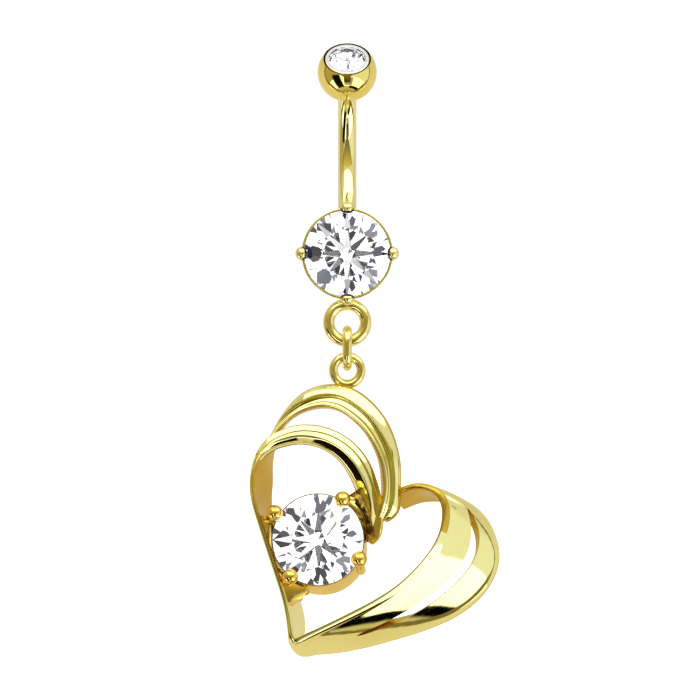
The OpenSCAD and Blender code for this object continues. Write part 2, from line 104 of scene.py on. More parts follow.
POLE_START, POLE_HEIGHT, POLE_SOFT, POLE_END, POLE = (80.0, 93.5), (-45, -15), (0, 3), (98, 101), (.05, .04, .015, 1)
# The opening's half width at the horizon, its growth with height, its soft edge and its darker rim; the slant and
# height of its upper edge; and the gap that reaches down from it
OPEN_HALF, OPEN_SPREAD, OPEN_SOFT, OPEN_RIM, RIM_SHADE = 42.0, 1.35, (-2, 2), (-10, -4), 0.35
OPEN_TOP_FALL, OPEN_TOP = 0.17, (24, 27)
GAP_TURN, GAP_HEIGHT = (14, 17), (-45, -42)
# What only the stones refract: pale patches with a few dark ones, and the dark lens hood in front with its edge
PATCHES = [(0.36, (.004, .006, .020)), (0.39, (.02, .03, .04)), (0.40, (.30, .31, .34)), (0.46, (.50, .50, .51)),
           (0.60, (.62, .62, .62))]
LENS_HOOD, HOOD_EDGE, HOOD = (-0.10, -0.987, 0.13), (11, 9), (.009, .010, .022, 1)
TENT_LIGHT, STONE_LIGHT, PAPER_LIGHT = 4.0, 3.4, 1.05
PAPER, PAPER_DROP, PAPER_GLOW = (0.94, 0.94, 0.93), 0.25, 0.55


class Shader:
    """Builds the nodes of a material or world: each call adds one, sets or links its inputs, and gives its output."""

    def __init__(self, owner):
        owner.use_nodes = True
        self.tree = owner.node_tree
        self.tree.nodes.clear()

    def add(self, kind, inputs=(), out=0, **settings):
        node = self.tree.nodes.new(kind)
        for name, value in settings.items():
            setattr(node, name, value)
        for key, value in dict(inputs).items():
            if isinstance(value, bpy.types.NodeSocket):
                self.tree.links.new(value, node.inputs[key])
            else:
                node.inputs[key].default_value = value
        return node.outputs[out] if len(node.outputs) else node

    def math(self, operation, *values):
        return self.add("ShaderNodeMath", enumerate(values), operation=operation)

    def step(self, value, low, high, at_low=0.0, at_high=1.0):
        """Smooth rise from at_low to at_high while value goes from low to high."""
        return self.add("ShaderNodeMapRange", {"Value": value, "From Min": low, "From Max": high, "To Min": at_low,
                                               "To Max": at_high}, interpolation_type="SMOOTHSTEP")

    def within(self, value, start, whole, ending, gone):
        """Share that rises smoothly from start to whole and falls again from ending to gone."""
        return self.math("MULTIPLY", self.step(value, start, whole), self.step(value, ending, gone, 1.0, 0.0))

    def ramp(self, value, stops):
        """Colour ramp over value; stops are (place from 0 to 1, colour)."""
        node = self.tree.nodes.new("ShaderNodeValToRGB")
        while len(node.color_ramp.elements) < len(stops):
            node.color_ramp.elements.new(0.5)
        for element, (place, colour) in zip(node.color_ramp.elements, stops):
            element.position = place
            element.color = (*colour, 1)
        self.tree.links.new(value, node.inputs[0])
        return node.outputs[0]


world = bpy.data.worlds.new("tent")
bpy.context.scene.world = world
tent = Shader(world)
toward = tent.add("ShaderNodeTexCoord")
axes = tent.add("ShaderNodeSeparateXYZ", {0: toward}).node.outputs
height = tent.math("DEGREES", tent.math("ARCSINE", axes[2]))
turn = tent.math("DEGREES", tent.math("ARCTAN2", axes[0], tent.math("MULTIPLY", axes[1], -1.0)))
off = tent.math("ABSOLUTE", turn)
height_share = tent.math("DIVIDE", tent.math("ADD", height, 90.0), 180.0)


def by_height(stops):
    """Colour over the height, a quarter of the brightness, so that the ramp's colours stay under 1."""
    return tent.ramp(height_share, [((h + 90) / 180, (r / 4, g / 4, b / 4)) for h, r, g, b in stops])


def blend(share, under, over):
    """Colour over laid on colour under by a share."""
    return tent.add("ShaderNodeMix", {"Factor": share, 6: under, 7: over}, out=2, data_type="RGBA")


def times(*shares):
    """Product of shares."""
    total = shares[0]
    for share in shares[1:]:
        total = tent.math("MULTIPLY", total, share)
    return total


walls = blend(tent.step(turn, *LEFT_TURN), by_height(LEFT_WALL), by_height(RIGHT_WALL))
walls = blend(times(tent.within(height, *ROOF_HEIGHT), tent.within(axes[0], *ROOF_SIDES)), walls, ROOF)
above_floor = tent.math("ADD", height, tent.math("MULTIPLY", off, FLOOR_FALL))
walls = blend(tent.step(above_floor, *FLOOR_EDGE), by_height(FLOOR_LIGHT), walls)
walls = blend(times(tent.within(height, *SLIT_HEIGHT), tent.step(turn, *SLIT_TURN)), walls, SLIT)
walls = blend(times(tent.within(turn, *GREY_TURN), tent.within(height, *GREY_HEIGHT)), walls, GREY)
past_edge = tent.math("SUBTRACT", off, tent.math("MULTIPLY_ADD", height, OPEN_SPREAD, OPEN_HALF))
under_top = tent.step(tent.math("MULTIPLY_ADD", off, OPEN_TOP_FALL, height), *OPEN_TOP, 1.0, 0.0)
gap = times(tent.step(off, *GAP_TURN, 1.0, 0.0), tent.step(height, *GAP_HEIGHT))
inside = times(tent.math("MAXIMUM", tent.step(past_edge, *OPEN_SOFT, 1.0, 0.0), gap), under_top)
rim_share = tent.math("MAXIMUM", tent.step(past_edge, *OPEN_RIM, 1.0, RIM_SHADE), gap)
opening = tent.add("ShaderNodeMix", {"Factor": 1.0, 6: by_height(OPENING), 7: rim_share}, out=2, data_type="RGBA",
                   blend_type="MULTIPLY")
walls = blend(inside, walls, opening)
cloth_edge = tent.step(tent.math("MULTIPLY_ADD", height, CLOTH_SLANT, turn), *CLOTH_EDGE, 1.0, 0.0)
walls = blend(times(tent.step(turn, *CLOTH_TURN), cloth_edge, tent.within(height, *CLOTH_HEIGHT)), walls, CLOTH)
walls = blend(tent.step(off, *BACK_TURN), walls, by_height(BACK_WALL))
past_pole = tent.math("SUBTRACT", off, tent.step(height, *POLE_HEIGHT, *POLE_START))
walls = blend(times(tent.step(past_pole, *POLE_SOFT), tent.step(off, *POLE_END, 1.0, 0.0)), walls, POLE)
tent_light = tent.add("ShaderNodeBackground", {"Color": walls, "Strength": TENT_LIGHT})
patches = tent.ramp(tent.add("ShaderNodeTexNoise", {"Vector": toward, "Scale": 2.4, "Detail": 1.0}), PATCHES)
near_lens = tent.add("ShaderNodeVectorMath", {0: toward, 1: LENS_HOOD}, out=1, operation="DOT_PRODUCT")
patches = blend(tent.step(near_lens, *(math.cos(math.radians(a)) for a in HOOD_EDGE)), patches, HOOD)
stone_light = tent.add("ShaderNodeBackground", {"Color": patches, "Strength": STONE_LIGHT})
paper_light = tent.add("ShaderNodeBackground", {"Color": (1, 1, 1, 1), "Strength": PAPER_LIGHT})
seen = tent.add("ShaderNodeLightPath").node.outputs
light = tent.add("ShaderNodeMixShader", {0: seen["Is Transmission Ray"], 1: tent_light, 2: stone_light})
tent.add("ShaderNodeOutputWorld", {0: tent.add("ShaderNodeMixShader", {0: seen["Is Camera Ray"], 1: light,
                                                                       2: paper_light})})

# The paper lies just under the ring. It glows softly, and neither shades the ring nor shows in its gold or stones.
paper_z = CAD_BOX[0][2] - PAPER_DROP / 1000
floor_mesh = bpy.data.meshes.new("floor")
floor_mesh.from_pydata([(-1, -1, paper_z), (1, -1, paper_z), (1, 1, paper_z), (-1, 1, paper_z)], [], [(0, 1, 2, 3)])
floor = bpy.data.objects.new("floor", floor_mesh)
bpy.context.collection.objects.link(floor)
floor.visible_glossy = False
floor.visible_transmission = False
floor.visible_shadow = False
paper = bpy.data.materials.new("paper")
sheet = Shader(paper)
sheet.add("ShaderNodeOutputMaterial", {0: sheet.add("ShaderNodeBsdfPrincipled", {
    "Base Color": (*PAPER, 1), "Roughness": 0.25, "Specular IOR Level": 0.25, "Emission Color": (1, 1, 1, 1),
    "Emission Strength": PAPER_GLOW})})
floor_mesh.materials.append(paper)

# ------------------------------
# Curved bar: 1.6 mm surgical steel wire bent to a quarter round, plated pale gold and polished. A plain shoulder and
# its thread pin take the ball at the top, and its lower end is soldered into the basket.
BAR_R, BAR_EASE = 0.8, 0.06
BEND_R = 7.25
UPPER_TURN, LOWER_TURN = 45.0, 51.0
THREAD_R, THREAD_L, THREAD_GAP, THREAD_ROOT = 0.6, 1.7, 0.03, 0.3
# The ball's radius, the flat under it, and the height of that flat, where the shoulder meets it, from the ball's centre
BALL_R, BALL_FLAT = 2.55, 0.13
SHOULDER = BALL_FLAT - BALL_R


def put(name, points, faces, body, slot, stands_for, material, sharp=40.0, second=None):
    """Mesh of points in millimetres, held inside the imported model's box, and blocks of faces, merged where points meet,
    with its faces outwards, smooth but for edges sharper than the given angle. It rides on a body and stands for a node
    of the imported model. The second material, if any, is a pair of the material and of a mask of the faces that have it.
    """
    mesh = bpy.data.meshes.new(name)
    points = np.clip(np.asarray(points, float) / 1000, np.array(CAD_BOX[0]), np.array(CAD_BOX[1]))
    mesh.from_pydata(points.tolist(), [], [f for block in faces for f in block.tolist()])
    if second:
        mesh.polygons.foreach_set("material_index", second[1].astype(np.int32))
    work = bmesh.new()
    work.from_mesh(mesh)
    bmesh.ops.remove_doubles(work, verts=work.verts, dist=2e-7)
    bmesh.ops.recalc_face_normals(work, faces=work.faces)
    work.to_mesh(mesh)
    work.free()
    mesh.polygons.foreach_set("use_smooth", np.ones(len(mesh.polygons), bool))
    mesh.set_sharp_from_angle(angle=math.radians(sharp))
    mesh.materials.append(material)
    if second:
        mesh.materials.append(second[0])
    piece = bpy.data.objects.new(name, mesh)
    bpy.context.collection.objects.link(piece)
    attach(piece, body)
    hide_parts(stands_for)


def quads(rows, a, b, n, m):
    """Faces between columns a and b of a grid of n rows by m columns, from each of the given rows to the next."""
    row, after = rows[:, None] * m, (rows[:, None] + 1) % n * m
    return np.stack([row + a, row + b, after + b, after + a], -1).reshape(-1, 4)


def closed_ends(rings):
    """Points of the rings and of the middles of both end rings, and the fans of faces that close those two rings."""
    n, m = rings.shape[:2]
    column = np.arange(m)
    after = (column + 1) % m
    return np.vstack([rings.reshape(-1, 3), rings[0].mean(0), rings[-1].mean(0)]), [
        np.stack([after, column, np.full(m, n * m)], -1),
        np.stack([(n - 1) * m + column, (n - 1) * m + after, np.full(m, n * m + 1)], -1)]


def skin(rings, loop=False):
    """Points and faces over rings of points, rows along a path by points round it: quads between neighbours. A loop
    joins its last ring to its first; else both end rings are closed by a fan to their middle."""
    n, m = rings.shape[:2]
    column = np.arange(m)
    sides = quads(np.arange(n if loop else n - 1), column, (column + 1) % m, n, m)
    if loop:
        return rings.reshape(-1, 3), [sides]
    points, fans = closed_ends(rings)
    return points, [sides] + fans


def joined(*shapes):
    """Several shapes' points and faces as one."""
    points, faces, count = [], [], 0
    for p, blocks in shapes:
        points.append(p)
        faces += [block + count for block in blocks]
        count += len(p)
    return np.vstack(points), faces


def rounded(corners, cut, steps=4):
    """Each corner of a closed outline gives way to a parabola that starts and ends on its two sides, at the cut
    distance from it or a little under half of the side, whichever is less. Works on a whole stack of outlines."""
    before = np.roll(corners, 1, -2) - corners
    ahead = np.roll(corners, -1, -2) - corners
    back_l = np.linalg.norm(before, axis=-1) + 1e-9
    ahead_l = np.linalg.norm(ahead, axis=-1) + 1e-9
    start = corners + before * (np.minimum(cut, 0.495 * back_l) / back_l)[..., None]
    end = corners + ahead * (np.minimum(cut, 0.495 * ahead_l) / ahead_l)[..., None]
    t = np.linspace(0, 1, steps + 1)[:, None]
    arc = (1 - t) ** 2 * start[..., None, :] + 2 * t * (1 - t) * corners[..., None, :] + t ** 2 * end[..., None, :]
    return arc.reshape(*corners.shape[:-2], -1, corners.shape[-1])


def lathe(outline, turns=128):
    """Closed outline of (radius, height) carried round the Z axis; points on the axis merge later."""
    outline = np.asarray(outline, float)
    angle = np.linspace(0, 2 * np.pi, turns, endpoint=False)[:, None]
    return skin(np.stack([outline[:, 0] * np.cos(angle), outline[:, 0] * np.sin(angle),
                          outline[:, 1] + 0 * angle], -1), loop=True)


def tube(line, across, radius, around=48, loop=False):
    """Round wire on a line of points. Each ring of it spans the two directions given for each point."""
    angle = np.linspace(0, 2 * np.pi, around, endpoint=False)
    u, v = across
    radius = np.broadcast_to(radius, len(line))[:, None, None]
    return skin(line[:, None, :] + radius * (np.cos(angle)[None, :, None] * u[:, None, :]
                                             + np.sin(angle)[None, :, None] * v[:, None, :]), loop)


def on_ball_axis(shape):
    """Takes a shape drawn along +Z from the ball's centre to its place on the tilted axis of the bar's upper end."""
    a = math.radians(UPPER_TURN)
    reach = THREAD_GAP - SHOULDER
    centre = np.array([0, -BEND_R * (1 - math.cos(a)) - reach * math.sin(a),
                       BEND_R * math.sin(a) + reach * math.cos(a)])
    spin = np.array([[1, 0, 0], [0, math.cos(a), -math.sin(a)], [0, math.sin(a), math.cos(a)]])
    return shape[0] @ spin.T + centre, shape[1]


def polished(name, colour, deep_colour, rough=0.06, rough_more=0.06, wave=0.004, wave_size=2.2, grain=0.0012,
             tone_size=3.8):
    """Polished plating: two tones of gold that drift over a few millimetres, roughness that rises in faint smears and
    in hair-fine buffing lines, slow waves left by the polishing wheel, and a trace of grain. Lengths in mm, but each
    noise's scale in repeats to the metre."""
    material = bpy.data.materials.new(name)
    s = Shader(material)
    place = s.add("ShaderNodeTexCoord", out=3)
    tone = s.add("ShaderNodeTexNoise", {"Vector": place, "Scale": 1000.0 / tone_size, "Detail": 3.0})
    colours = s.ramp(tone, [(0.35, colour), (0.70, deep_colour)])
    smear = s.add("ShaderNodeTexNoise", {"Vector": place, "Scale": 900.0, "Detail": 4.0, "Roughness": 0.6})
    lines = s.add("ShaderNodeTexNoise", {
        "Vector": s.add("ShaderNodeMapping", {"Vector": place, "Rotation": (0.3, 0.5, 0.2),
                                              "Scale": (600.0, 9000.0, 2500.0)}),
        "Scale": 1.0, "Detail": 3.0})
    roughness = s.math("ADD", s.step(smear, 0.42, 0.78, rough, rough + rough_more), s.step(lines, 0.55, 0.80, 0, 0.05))
    waves = s.add("ShaderNodeTexNoise", {"Vector": place, "Scale": 1000.0 / wave_size, "Detail": 1.0})
    fine = s.add("ShaderNodeTexNoise", {"Vector": place, "Scale": 9000.0, "Detail": 2.0})
    bump = s.add("ShaderNodeBump", {"Height": waves, "Strength": 1.0, "Distance": wave / 1000})
    bump = s.add("ShaderNodeBump", {"Height": fine, "Strength": 1.0, "Distance": grain / 1000, "Normal": bump})
    s.add("ShaderNodeOutputMaterial", {0: s.add("ShaderNodeBsdfPrincipled", {
        "Base Color": colours, "Metallic": 1.0, "Roughness": roughness, "Normal": bump})})
    return material


# The bar's bend, with one point more just before its upper end, where its edge is eased
bend = np.radians(np.linspace(-LOWER_TURN, UPPER_TURN, 160))
bar_out = np.stack([0 * bend, np.cos(bend), np.sin(bend)], -1)
bar_line = np.array([0, -BEND_R, 0]) + BEND_R * bar_out
bar_line = np.vstack([bar_line[:-1], 0.65 * bar_line[-2] + 0.35 * bar_line[-1], bar_line[-1]])
bar_out = np.vstack([bar_out, bar_out[-1]])
bar_side = np.tile([1.0, 0, 0], (len(bar_out), 1))
bar_radius = np.append(np.full(len(bend), BAR_R), BAR_R - BAR_EASE)
pin_low, pin_top = SHOULDER - THREAD_GAP - THREAD_ROOT, SHOULDER - THREAD_GAP + THREAD_L
pin = lathe(rounded(np.array([(0, pin_low), (THREAD_R, pin_low), (THREAD_R, pin_top), (0, pin_top)]),
                    np.array([0, 0.05, 0.1, 0])), 64)
bar_gold = polished("bar_gold", (0.94, 0.87, 0.42), (0.92, 0.84, 0.37), rough=0.03, rough_more=0.03, wave=0.002)
put("curved_bar", *joined(tube(bar_line, (bar_side, bar_out), bar_radius, 64), on_ball_axis(pin)), "barbell",
    "bar_metal", "barbell", bar_gold)

# ------------------------------
# Gem ball: a turned steel ball, plated a deeper yellow gold. It screws on the bar by the threaded hole below, and a
# pocket bored into its top takes the gem's cup.
GEM_D, GEM_UP = 3.2, 1.42
STONE_GAP = 0.04
CUP_WALL = 0.27
GROOVE = 0.13
# A round brilliant's half girdle and pavilion, as shares of its diameter
GIRDLE, PAVILION = 0.025 / 2, 0.42
GEM_FOOT = GEM_UP - (PAVILION + GIRDLE) * GEM_D
CUP_BOTTOM = GEM_FOOT - STONE_GAP - 0.75 * CUP_WALL
CUP_R = GEM_D / 2 + STONE_GAP + CUP_WALL
CUP_TOP = GEM_UP + 0.48 * CUP_WALL
POCKET_R, POCKET_BOTTOM = CUP_R + GROOVE, CUP_BOTTOM - STONE_GAP
HOLE_R, HOLE_TOP = THREAD_R + THREAD_GAP, SHOULDER + THREAD_L + THREAD_GAP

ball_gold = polished("ball_gold", (0.93, 0.82, 0.27), (0.90, 0.77, 0.22), rough=0.05)
rise = np.linspace(math.asin(SHOULDER / BALL_R), math.acos(POCKET_R / BALL_R), 60)
ball_outline = np.vstack([[(0, HOLE_TOP), (HOLE_R, HOLE_TOP), (HOLE_R, SHOULDER)],
                          np.stack([BALL_R * np.cos(rise), BALL_R * np.sin(rise)], -1),
                          [(POCKET_R, POCKET_BOTTOM), (0, POCKET_BOTTOM)]])
put("gem_ball", *on_ball_axis(lathe(rounded(ball_outline, np.full(len(ball_outline), 0.03), 2), 160)), "ball",
    "ball_metal", "top_ball", ball_gold)

# ------------------------------
# Cup: a bright cup of white metal that isn't plated. It is pressed into the ball's pocket, and its rolled lip holds
# the gem.
cup_metal = polished("cup_metal", (0.93, 0.93, 0.93), (0.86, 0.87, 0.88), rough=0.10)
cup_inside = GEM_FOOT - STONE_GAP - 0.075 * CUP_WALL
cup_outline = np.array([
    (0, CUP_BOTTOM), (CUP_R - CUP_WALL, CUP_BOTTOM), (CUP_R, CUP_BOTTOM + 1.1 * CUP_WALL),
    (CUP_R, CUP_TOP - 0.22 * CUP_WALL), (CUP_R - 0.3 * CUP_WALL, CUP_TOP), (CUP_R - 1.22 * CUP_WALL, CUP_TOP),
    (CUP_R - CUP_WALL, GEM_UP + 0.22 * CUP_WALL), (CUP_R - CUP_WALL, GEM_UP - 0.37 * CUP_WALL),
    (0.9 * CUP_WALL, cup_inside), (0, cup_inside)])
cup_cuts = np.array([0, .05, .1, .1, .1, .03, .01, .02, .05, 0])
put("gem_cup", *on_ball_axis(lathe(rounded(cup_outline, cup_cuts), 128)), "ball", "cup_metal", "ball_cup", cup_metal)

# ------------------------------
# Stones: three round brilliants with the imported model's flat facets, the two large ones of cubic zirconia and the
# small gem in the ball of crystal. Metal holds each by its girdle.


def cut_stone(name, tint, rough, ior):
    """Clear stone of high refraction: a trace of colour, and a polish that varies a little over the facets."""
    material = bpy.data.materials.new(name)
    s = Shader(material)
    place = s.add("ShaderNodeTexCoord", out=3)
    haze = s.add("ShaderNodeTexNoise", {"Vector": place, "Scale": 1500.0, "Detail": 2.0})
    s.add("ShaderNodeOutputMaterial", {0: s.add("ShaderNodeBsdfPrincipled", {
        "Base Color": (*tint, 1), "Transmission Weight": 1.0, "IOR": ior,
        "Roughness": s.step(haze, 0.5, 0.8, 0.0, rough)})})
    return material


clear_stone = cut_stone("cubic_zirconia", (0.985, 0.99, 1.0), 0.01, 2.16)
crystal = cut_stone("crystal", (0.97, 0.97, 0.98), 0.02, 1.56)
for name, material in (("top_stone", crystal), ("navel_stone", clear_stone), ("heart_stone", clear_stone)):
    nodes[name].data.materials.clear()
    nodes[name].data.materials.append(material)

# ------------------------------
# Basket of the navel stone: a flaring ring of plated metal with a thin rim and four claws, soldered on the bar's end.
# The claws' heads are pressed over the stone's edge, and a near-black crescent where each meets it is painted shade.
NAVEL_D = 7.4
RIM_W, BASKET_WALL, BASKET_DEEP, BASKET_FLARE, BAR_SUNK = 0.18, 0.55, 2.6, 0.62, 0.29
CLAW_W, CLAW_OUT = 1.2, 0.54
# The reach that is left of a claw's head on the stone's side, and the depth over which it is drawn back
CLAW_INNER, CLAW_BLEND = 0.7, 0.3
# Painted shade crescent's edge in half claw widths: the square of its radius, and its distance from the head's middle
SHADE_ROUND, SHADE_IN = 0.95, 0.46
RIM_R = NAVEL_D / 2 + STONE_GAP + RIM_W
BACK_R = RIM_R - BASKET_FLARE
NAVEL_Y = -(BEND_R * (1 - math.cos(math.radians(LOWER_TURN))) - BAR_SUNK + BASKET_DEEP)
NAVEL_Z = -BEND_R * math.sin(math.radians(LOWER_TURN)) - BACK_R + BASKET_WALL / 4
HEAD_AT = (RIM_R + CLAW_OUT - CLAW_W / 2, CLAW_W / 4)
# A brilliant's crown and table, as shares of its diameter
CROWN, TABLE = 0.15, 0.58


def facing_front(shape, x, y, z):
    """Takes a shape drawn facing +Z to a place where it faces the front."""
    p = shape[0]
    return np.stack([x + p[:, 0], y - p[:, 2], z + p[:, 1]], -1), shape[1]


def off_the_stone(shape, stone_d):
    """Clears metal from a stone whose girdle lies at height 0. Points under the slope of its crown rise to just above
    it, points beside its pavilion move out to just beyond it."""
    p = shape[0].copy()
    r = np.hypot(p[:, 0], p[:, 1]) + 1e-9
    seat = stone_d / 2 + STONE_GAP
    girdle = GIRDLE * stone_d
    slope = (CROWN * stone_d) / (stone_d / 2 * (1 - TABLE))
    crown = girdle + STONE_GAP + np.clip(seat - r, 0, None) * slope
    over = (r < seat) & (p[:, 2] > -girdle) & (p[:, 2] < crown)
    p[over, 2] = crown[over]
    wall = seat * np.clip((p[:, 2] + PAVILION * stone_d + girdle) / (PAVILION * stone_d), 0, 1)
    beside = (p[:, 2] <= -girdle) & (r < wall)
    p[beside, :2] *= (wall[beside] / r[beside])[:, None]
    return p, shape[1]


def claw(root, head, root_d, head_d, slim, turn, around=40):
    """Leaning prong with a round head: a wire from root to head that widens into a ball. Turned about the axis."""
    root, head = np.array(root, float), np.array(head, float)
    length = np.linalg.norm(head - root)
    lean = math.atan2(head[0] - root[0], head[1] - root[1])
    ball = np.radians(np.linspace(-90 + math.degrees(math.acos(min(slim * root_d / head_d, 1))), 90, 22))
    outline = np.vstack([[(0, -root_d / 4), (root_d / 2, 0)],
                         [(slim * root_d / 2, length * k) for k in (0.3, 0.5)],
                         np.stack([head_d / 2 * np.cos(ball), length + head_d / 2 * np.sin(ball)], -1)])
    outline = outline[(outline[:, 1] >= np.maximum.accumulate(outline[:, 1]) - 1e-9)]
    p, faces = lathe(np.vstack([outline, [(0, length * 0.5)]]), around)
    c, s = math.cos(lean), math.sin(lean)
    p = np.stack([root[0] + c * p[:, 0] + s * p[:, 2], p[:, 1], root[1] - s * p[:, 0] + c * p[:, 2]], -1)
    c, s = math.cos(math.radians(turn)), math.sin(math.radians(turn))
    return np.stack([c * p[:, 0] - s * p[:, 1], s * p[:, 0] + c * p[:, 1], p[:, 2]], -1), faces


flare_at = -0.2 * BASKET_DEEP
wall_outline = np.array([(RIM_R, 0), (RIM_R, flare_at), (BACK_R, -BASKET_DEEP), (BACK_R - BASKET_WALL, -BASKET_DEEP),
                         (RIM_R - BASKET_WALL, flare_at), (RIM_R - RIM_W, -GIRDLE * NAVEL_D - 0.1),
                         (RIM_R - RIM_W, 0)])
wall = lathe(rounded(wall_outline, np.array([0.07, 0.2, 0.15, 0.1, 0.05, 0.05, 0.03])), 192)
put("basket_wall", *facing_front(wall, 0, NAVEL_Y, NAVEL_Z), "barbell", "bar_metal", "barbell", bar_gold)


def flatter_inside(shape):
    """Draws the stone's side of the heads of claws back to a share of its reach, so that they end more steeply."""
    p = shape[0].copy()
    r = np.hypot(p[:, 0], p[:, 1]) + 1e-9
    share = np.clip(p[:, 2] / CLAW_BLEND + 1, 0, 1) * (1 - CLAW_INNER)
    p[:, :2] *= (1 + share * np.clip(HEAD_AT[0] - r, 0, CLAW_W / 2) / r)[:, None]
    return p, shape[1]


def claw_shade_crescent(shape, turn):
    """Faces of a claw's head that get painted shade: a crescent over the head's inner side, which looks at the stone.
    """
    c, s = math.cos(math.radians(turn)), math.sin(math.radians(turn))
    x, y, z = shape[0][shape[1][0]].mean(1).T
    inward = (HEAD_AT[0] - x * c - y * s) / (CLAW_W / 2)
    beside = (y * c - x * s) / (CLAW_W / 2)
    return (inward > np.sqrt(np.clip(SHADE_ROUND - beside ** 2, 0, 1)) - SHADE_IN) & (z > 0)


claw_foot = (BACK_R + CLAW_W / 10, -BASKET_DEEP + CLAW_W / 6)
prongs = [(claw(claw_foot, HEAD_AT, 0.55 * CLAW_W, CLAW_W, 1.0, quarter), quarter) for quarter in (0, 90, 180, 270)]
claw_shade_faces = np.concatenate([claw_shade_crescent(*each) for each in prongs])
claws = joined(*(off_the_stone(flatter_inside(shape), NAVEL_D) for shape, _ in prongs))
claw_gold = polished("claw_gold", (0.96, 0.88, 0.42), (0.93, 0.83, 0.34), rough=0.10)
# Near-black painted shade on the side of each claw's head that looks at the stone
claw_shade_metal = polished("claw_shade_metal", (0.012, 0.011, 0.010), (0.03, 0.025, 0.02), rough=0.25)
put("basket_claws", *facing_front(claws, 0, NAVEL_Y, NAVEL_Z), "barbell", "bar_metal", "barbell", claw_gold,
    second=(claw_shade_metal, claw_shade_faces))

# ------------------------------
# Eye ring: a closed ring of round wire, plated gold. It stands square to the front, soldered under the basket's rim,
# and the link hangs in it.
EYE_WIRE, EYE_HOLE, EYE_BACK, EYE_SET = 1.0, 2.17, 1.0, 0.42
EYE_R = (EYE_HOLE + EYE_WIRE) / 2
EYE_Y = NAVEL_Y + EYE_BACK
EYE_Z = NAVEL_Z - RIM_R - EYE_SET * EYE_WIRE - EYE_R


def wire_ring(ring_r, wire, turns=128, around=40):
    """Closed ring of round wire: a small circle carried round the Z axis on a large one."""
    a = np.linspace(0, 2 * np.pi, around, endpoint=False)
    return lathe(np.stack([ring_r + wire / 2 * np.cos(a), wire / 2 * np.sin(a)], -1), turns)


ring_gold = polished("ring_gold", (0.93, 0.83, 0.36), (0.90, 0.78, 0.28), rough=0.08)
put("eye_ring", *facing_front(wire_ring(EYE_R, EYE_WIRE), 0, EYE_Y, EYE_Z), "barbell", "bar_metal", "barbell",
    ring_gold)

# ------------------------------
# Link: an oval of round wire, plated gold and closed by a solder joint. It stands edge-on between the eye ring and the
# heart's ring, and hangs free in both.
LINK_WIRE, LINK_HOLE, LINK_L, PLAY = 0.8, 1.4, 3.115, 0.04
BOW_R = (LINK_HOLE + LINK_WIRE) / 2
LINK_TOP = EYE_Z - EYE_R + EYE_WIRE / 2 + LINK_WIRE / 2 + PLAY
LINK_LOW = LINK_TOP - LINK_L

half = np.linspace(0, np.pi, 48)
arch = np.stack([BOW_R * np.cos(half), BOW_R * np.sin(half)], -1)
drop = np.linspace(0, 1, 24)[1:-1, None]
straight = LINK_L - 2 * BOW_R
oval = np.vstack([arch + (0, LINK_TOP - BOW_R), [(-BOW_R, LINK_TOP - BOW_R)] - drop * [(0, straight)],
                  -arch + (0, LINK_LOW + BOW_R), [(BOW_R, LINK_LOW + BOW_R)] + drop * [(0, straight)]])
link_run = np.roll(oval, -1, 0) - np.roll(oval, 1, 0)
link_run /= np.linalg.norm(link_run, axis=1)[:, None]
link_line = np.stack([0 * oval[:, 0], EYE_Y + oval[:, 0], oval[:, 1]], -1)
link_out = np.stack([0 * oval[:, 0], link_run[:, 1], -link_run[:, 0]], -1)
link_side = np.tile([1.0, 0, 0], (len(oval), 1))
put("oval_link", *tube(link_line, (link_side, link_out), LINK_WIRE / 2, 40, loop=True), "link", "bar_metal", "link",
    ring_gold)

# ------------------------------
# Heart band: one strip of the brass casting, plated and polished. It starts behind the cleft, runs round the puffed
# right lobe with its long slot to the tip, up the left side and as a grooved loop over the left lobe to its front end.
HEART_W, HEART_H, HEART_DEEP, HEART_FRONT = 21.5, 23.5, 3.6, 1.35
FRAME_WALL, BAND_FLARE = 0.5, 3.6
LEAN = np.array([1.6, -1.65])
RING_WIRE, RING_HOLE = 0.78, 1.6
RING_R = (RING_HOLE + RING_WIRE) / 2
RING_Z = LINK_LOW + LINK_WIRE / 2 + RING_WIRE / 2 + PLAY - RING_R
HEART_X = -0.3925 * HEART_W
HEART_Z = RING_Z - RING_R - RING_WIRE / 2 - 0.982 * HEART_H
HEART_Y = EYE_Y - HEART_FRONT
FACE_DEEP, SLOT_SLANT, SLOT_W = 0.42, 1.2, 1.1
# Rows of the band that the slot may cross, how many fine rows its ends taper over, and how far its outer edge moves
# out at the back, over shares of its length
LOBE_ROWS, SLOT_TAPER, SLOT_BACK = 15, 4.0, ((0.10, 0.30, 0.74, 0.86), (0, 0.40, 0.40, -0.35))
# Where the inside is polished too: on the lip from a row and a column on, and all round between two rows at the tip
LIP_ROW, LIP_COLUMN, TIP_ROWS = 7.0, 14, (16.6, 19.4)
